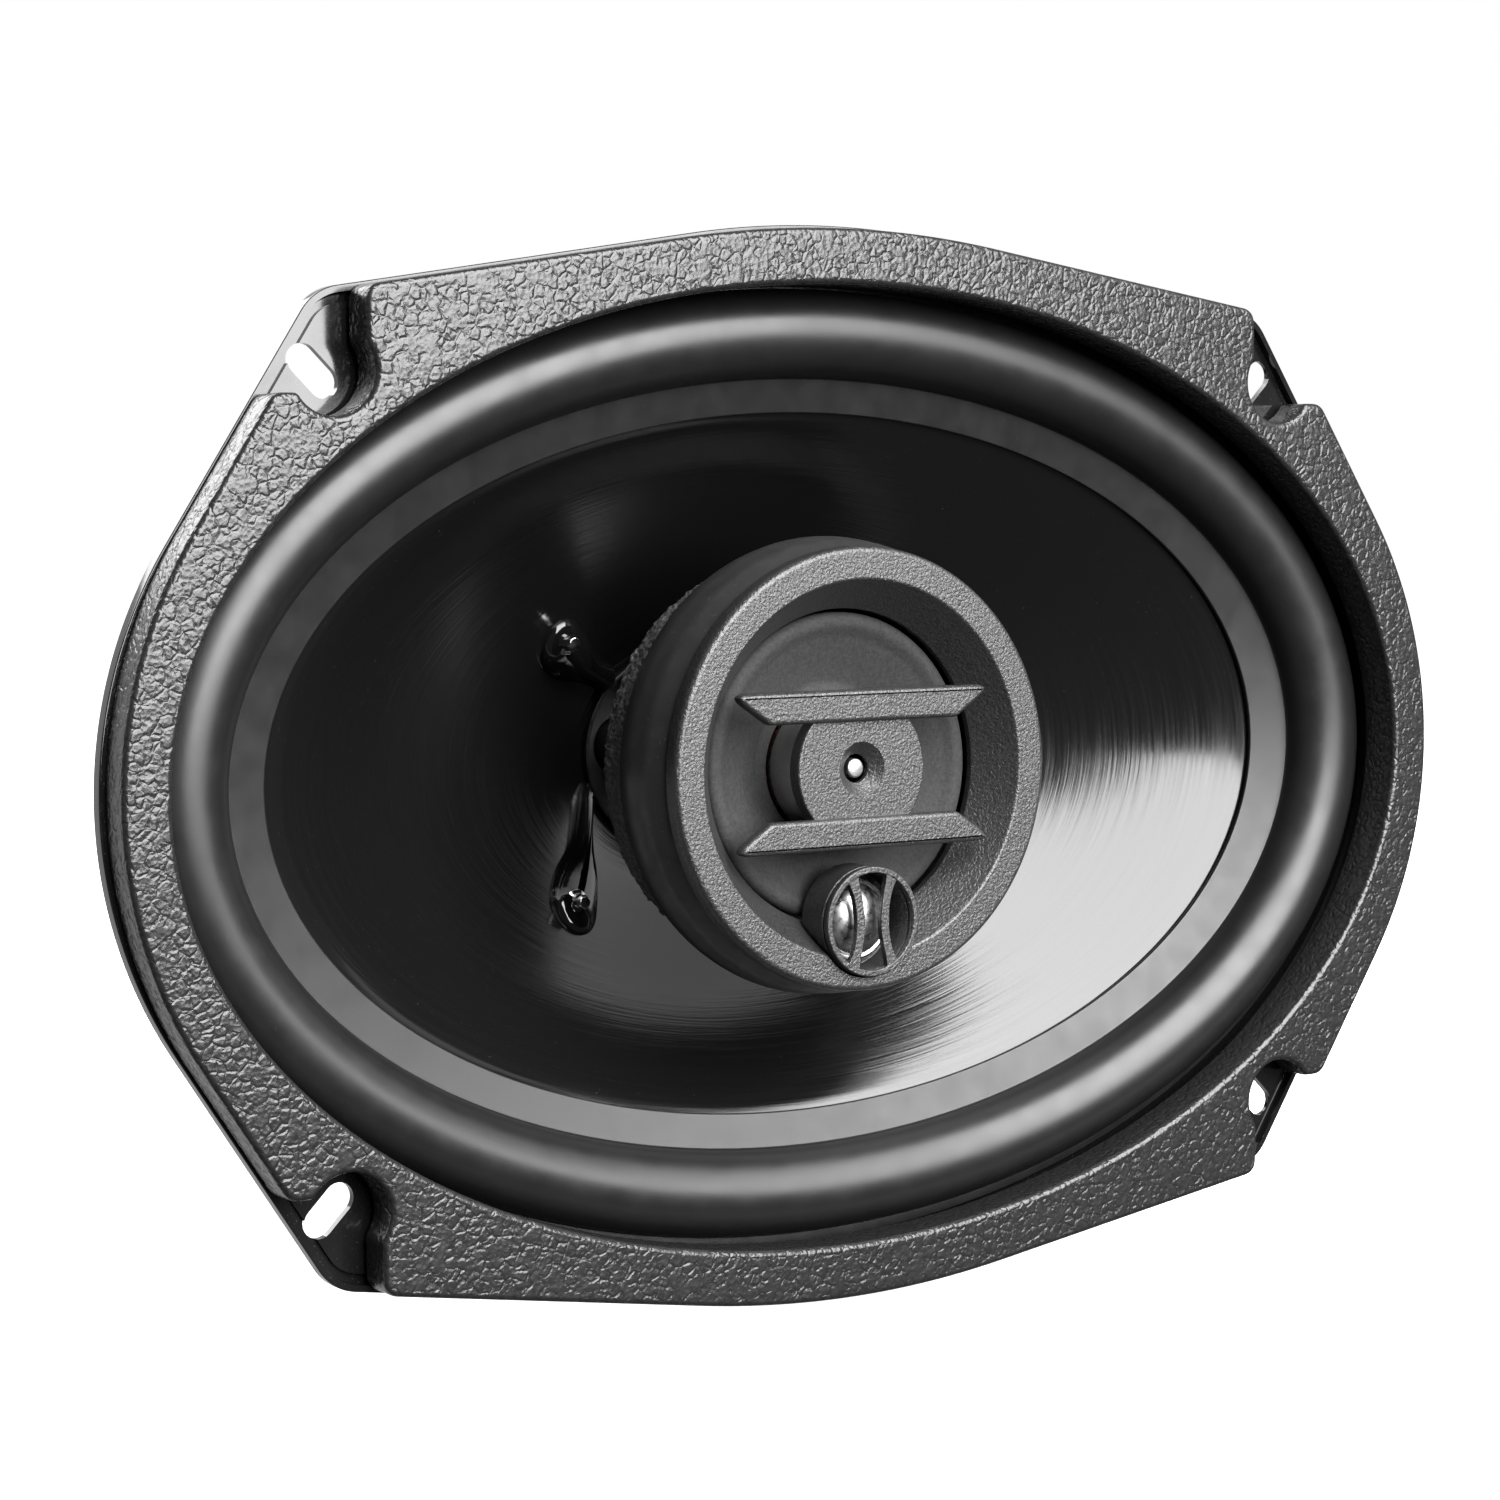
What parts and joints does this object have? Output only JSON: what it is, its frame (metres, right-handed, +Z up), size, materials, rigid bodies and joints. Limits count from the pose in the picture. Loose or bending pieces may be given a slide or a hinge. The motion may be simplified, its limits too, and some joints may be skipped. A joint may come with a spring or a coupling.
{
  "type": "coaxial car speaker",
  "caption": "Oval three-way coaxial car speaker: pressed steel basket, grained gasket, sprung woofer cone, and a centre pod with midrange and tweeter.",
  "frame": {"origin": "centre of the mounting flange's rear face, where it seats on the baffle", "axes": "+X along the long axis, +Z up across the short axis, -Y out of the front of the speaker"},
  "size_m": [0.2356, 0.1053, 0.163],
  "materials": {
    "black_steel": "gloss black electrocoat on pressed steel",
    "gasket_rubber": "leather-grained satin dark grey moulding",
    "surround_rubber": "satin butyl rubber",
    "cone_film": "glossy black filled polypropylene with fine turned lines",
    "spider_cloth": "resin-dipped cotton",
    "former_foil": "bare foil",
    "copper_winding": "enamelled copper wire",
    "black_adhesive": "wet-looking black adhesive",
    "bright_pin": "bright plated",
    "zinc_steel": "zinc-plated steel",
    "blacked_steel": "matt black oxide on turned steel",
    "dome_foil": "satin drawn foil",
    "ferrite": "sintered ceramic ferrite",
    "boot_rubber": "moulded soft vinyl",
    "pod_plastic": "moulded black",
    "sleeve_rubber": "smooth matt sleeve",
    "open_foam": "open-cell foam",
    "satin_plastic": "fine-sanded metallic charcoal",
    "chrome": "bright plated",
    "felt_paper": "fibrous pressed paper",
    "terminal_plastic": "moulded black",
    "tinned_brass": "tin-plated",
    "tinsel_braid": "woven tinsel",
    "wire_insulation": "smooth vinyl",
    "capacitor_sleeve": "shrink sleeve"
  },
  "bodies": {
    "basket_body": {"basket_frame": "black_steel", "gasket": "gasket_rubber", "surround": "surround_rubber", "spider": "spider_cloth", "top_plate": "zinc_steel", "motor_rivet_1": "zinc_steel", "motor_rivet_2": "zinc_steel", "motor_rivet_3": "zinc_steel", "motor_rivet_4": "zinc_steel", "magnet_ring": "ferrite", "back_plate": "blacked_steel", "magnet_boot": "boot_rubber", "centre_post": "blacked_steel", "post_nut": "zinc_steel", "pod_housing": "pod_plastic", "pod_sleeve": "sleeve_rubber", "foam_collar": "open_foam", "face_ring": "satin_plastic", "midrange_guard": "satin_plastic", "phase_plug": "chrome", "phase_plug_pin": "zinc_steel", "midrange_top_plate": "zinc_steel", "midrange_magnet": "ferrite", "midrange_yoke": "zinc_steel", "tweeter_bezel": "satin_plastic", "tweeter_cup": "satin_plastic", "tweeter_magnet": "zinc_steel", "terminal_block": "terminal_plastic", "terminal_positive": "tinned_brass", "terminal_negative": "tinned_brass", "terminal_rivet_upper": "zinc_steel", "terminal_rivet_lower": "zinc_steel", "tinsel_lead_positive": "tinsel_braid", "tinsel_lead_negative": "tinsel_braid", "pod_wire_positive": "wire_insulation", "pod_wire_negative": "wire_insulation", "crossover_capacitor": "capacitor_sleeve"},
    "cone_body": {"woofer_cone": "cone_film", "voice_coil_former": "former_foil", "voice_coil_winding": "copper_winding", "lead_glue_upper": "black_adhesive", "lead_glue_lower": "black_adhesive", "lead_eyelet_upper": "bright_pin", "lead_eyelet_lower": "bright_pin"},
    "midrange_body": {"midrange_cone": "felt_paper", "midrange_voice_coil": "copper_winding"},
    "tweeter_body": {"tweeter_dome": "dome_foil"}
  },
  "joints": [
    {"name": "cone_excursion", "type": "slide", "parent": "basket_body", "child": "cone_body", "axis": [0, -1, 0], "range_m": [-0.005, 0.005], "stiffness_N_per_m": 2500, "deforming": ["surround", "spider", "tinsel_lead_positive", "tinsel_lead_negative"]},
    {"name": "midrange_excursion", "type": "slide", "parent": "basket_body", "child": "midrange_body", "axis": [0, -1, 0], "range_m": [-0.0005, 0.0005], "stiffness_N_per_m": 600},
    {"name": "tweeter_excursion", "type": "slide", "parent": "basket_body", "child": "tweeter_body", "axis": [0, -1, 0], "range_m": [-0.0002, 0.0002], "stiffness_N_per_m": 400}
  ]
}
